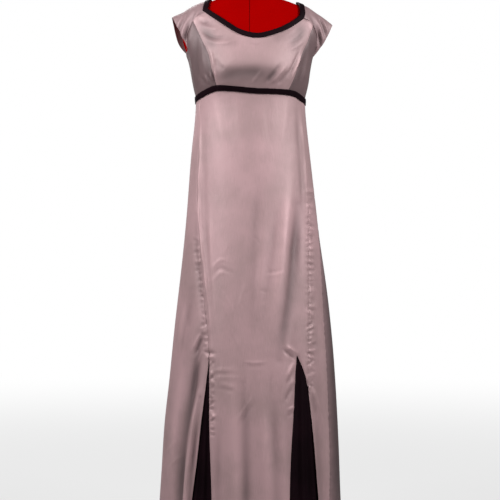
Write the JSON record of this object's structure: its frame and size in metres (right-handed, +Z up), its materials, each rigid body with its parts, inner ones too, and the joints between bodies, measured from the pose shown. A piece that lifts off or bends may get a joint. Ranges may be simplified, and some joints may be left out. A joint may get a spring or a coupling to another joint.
{
  "type": "regency gown on dress form",
  "caption": "Empire-line satin gown with raglan cap sleeves, dark neck binding and under-bust band, and two front slits over folded dark godets, on a limbless dress form with a round base.",
  "frame": {"origin": "centre of the underside of the dress form's round base, on the floor", "axes": "+Z up, the gown's front faces -Y, +X is to the right of someone looking at the front"},
  "size_m": [0.4823, 0.4167, 1.5063],
  "materials": {
    "mauve_satin": "dusty mauve satin with a soft sheen",
    "aubergine_satin": "very dark aubergine satin",
    "red_jersey": "matt red knitted cover",
    "brushed_steel": "brushed steel tube",
    "black_enamel": "black enamel"
  },
  "bodies": {
    "root": {"bodice_front": "mauve_satin", "bodice_side_front_l": "mauve_satin", "bodice_side_front_r": "mauve_satin", "bodice_back_l": "mauve_satin", "bodice_back_r": "mauve_satin", "sleeve_l": "mauve_satin", "sleeve_r": "mauve_satin", "neck_binding": "aubergine_satin", "under_bust_band": "aubergine_satin", "skirt_front": "mauve_satin", "skirt_side_front_l": "mauve_satin", "skirt_side_front_r": "mauve_satin", "skirt_back_l": "mauve_satin", "skirt_back_r": "mauve_satin", "godet_l": "aubergine_satin", "godet_r": "aubergine_satin", "form_torso": "red_jersey", "form_neck_cap": "black_enamel", "form_pole": "brushed_steel", "form_base": "black_enamel"}
  },
  "joints": []
}
